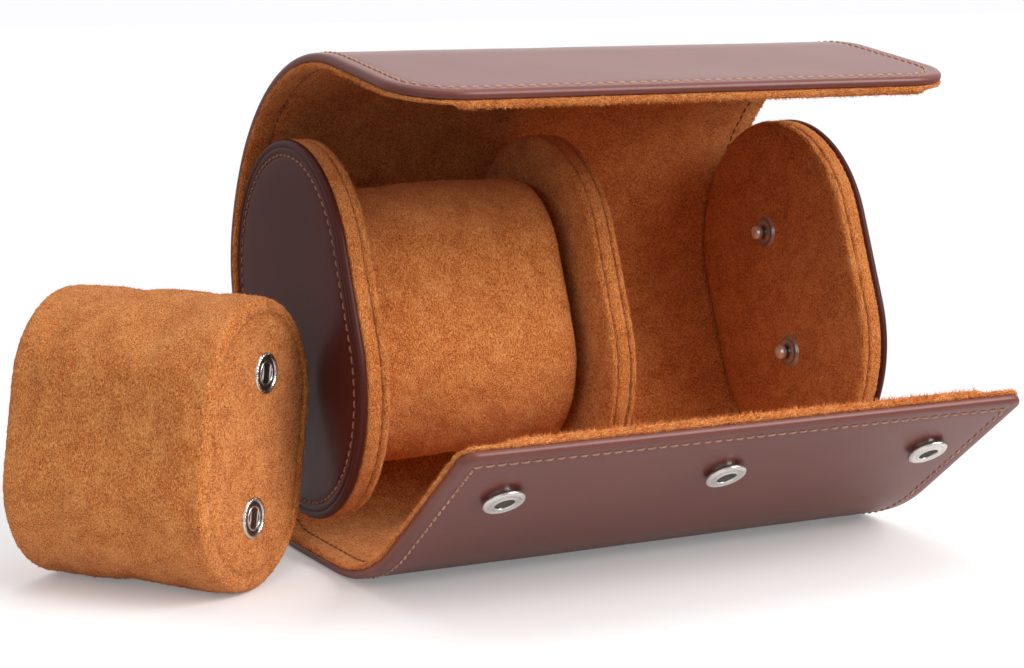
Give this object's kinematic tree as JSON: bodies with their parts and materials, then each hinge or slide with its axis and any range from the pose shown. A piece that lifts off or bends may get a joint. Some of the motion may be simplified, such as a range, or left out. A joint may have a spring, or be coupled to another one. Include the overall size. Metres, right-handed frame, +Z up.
{
  "type": "watch travel case",
  "caption": "Leather watch roll with a folding top flap and front lip that close on press studs, stiff end caps, a divider and padded suede cushions that snap onto the caps.",
  "frame": {"origin": "middle of the flat foot the open case stands on, at floor height", "axes": "+X along the case to its right end, -Y to the front where the lip opens, +Z up"},
  "size_m": [0.2276, 0.1394, 0.1254],
  "materials": {
    "brown_leather": "smooth semi-gloss brown leather",
    "suede": "orange-brown microfibre suede",
    "board": "grey fibre board",
    "foam": "upholstery foam",
    "nickel": "polished nickel plate"
  },
  "bodies": {
    "case": {"cover_back_leather": "brown_leather", "cover_back_board": "board", "cover_back_lining": "suede", "left_cap_leather": "brown_leather", "left_cap_core": "board", "left_cap_band": "suede", "left_cap_face": "suede", "left_cap_studs": "nickel", "right_cap_leather": "brown_leather", "right_cap_core": "board", "right_cap_band": "suede", "right_cap_face": "suede", "right_cap_studs": "nickel", "divider_core": "board", "divider_band": "suede", "divider_left_face": "suede", "divider_right_face": "suede"},
    "flap_1": {"flap_1_leather": "brown_leather", "flap_1_board": "board", "flap_1_lining": "suede"},
    "flap_2": {"flap_2_leather": "brown_leather", "flap_2_board": "board", "flap_2_lining": "suede"},
    "flap_3": {"flap_3_leather": "brown_leather", "flap_3_board": "board", "flap_3_lining": "suede", "flap_studs": "nickel"},
    "lip_1": {"lip_1_leather": "brown_leather", "lip_1_board": "board", "lip_1_lining": "suede"},
    "lip_2": {"lip_2_leather": "brown_leather", "lip_2_board": "board", "lip_2_lining": "suede"},
    "lip_3": {"lip_3_leather": "brown_leather", "lip_3_board": "board", "lip_3_lining": "suede", "lip_sockets": "nickel", "lip_socket_washers": "nickel"},
    "left_cushion": {"left_cushion_foam": "foam", "left_cushion_sleeve": "suede", "left_cushion_socket_end": "suede", "left_cushion_plain_end": "suede", "left_cushion_sockets": "nickel"},
    "loose_cushion": {"loose_cushion_foam": "foam", "loose_cushion_sleeve": "suede", "loose_cushion_socket_end": "suede", "loose_cushion_plain_end": "suede", "loose_cushion_sockets": "nickel"}
  },
  "joints": [
    {"name": "flap_fold_1", "type": "hinge", "parent": "case", "child": "flap_1", "pos_m": [0, 0.03921, 0.09152], "axis": [1, 0, 0], "range_deg": [-8, 14]},
    {"name": "flap_fold_2", "type": "hinge", "parent": "flap_1", "child": "flap_2", "pos_m": [0, 0.02313, 0.11138], "axis": [1, 0, 0], "range_deg": [-6.3, 11.01]},
    {"name": "flap_fold_3", "type": "hinge", "parent": "flap_2", "child": "flap_3", "pos_m": [0, -0.02326, 0.12425], "axis": [1, 0, 0], "range_deg": [-18.87, 33.01]},
    {"name": "lip_fold_1", "type": "hinge", "parent": "case", "child": "lip_1", "pos_m": [0, -0.004, 0.0006], "axis": [-1, 0, 0], "range_deg": [0, 29]},
    {"name": "lip_fold_2", "type": "hinge", "parent": "lip_1", "child": "lip_2", "pos_m": [0, -0.05405, 0.01198], "axis": [-1, 0, 0], "range_deg": [0, 26.01]},
    {"name": "lip_fold_3", "type": "hinge", "parent": "lip_2", "child": "lip_3", "pos_m": [0, -0.0706, 0.02491], "axis": [-1, 0, 0], "range_deg": [0, 21.01]},
    {"name": "left_cushion_unsnap", "type": "slide", "parent": "case", "child": "left_cushion", "axis": [1, 0, 0], "range_m": [0, 0.0028]},
    {"name": "loose_cushion_lift", "type": "slide", "parent": "case", "child": "loose_cushion", "axis": [0, 0, 1], "range_m": [0, 0.12]}
  ],
  "couplings": [
    {"joint": "flap_fold_2", "follows": "flap_fold_1", "ratio": 0.78571},
    {"joint": "flap_fold_3", "follows": "flap_fold_1", "ratio": 2.3571},
    {"joint": "lip_fold_2", "follows": "lip_fold_1", "ratio": 0.89655},
    {"joint": "lip_fold_3", "follows": "lip_fold_1", "ratio": 0.72414}
  ]
}
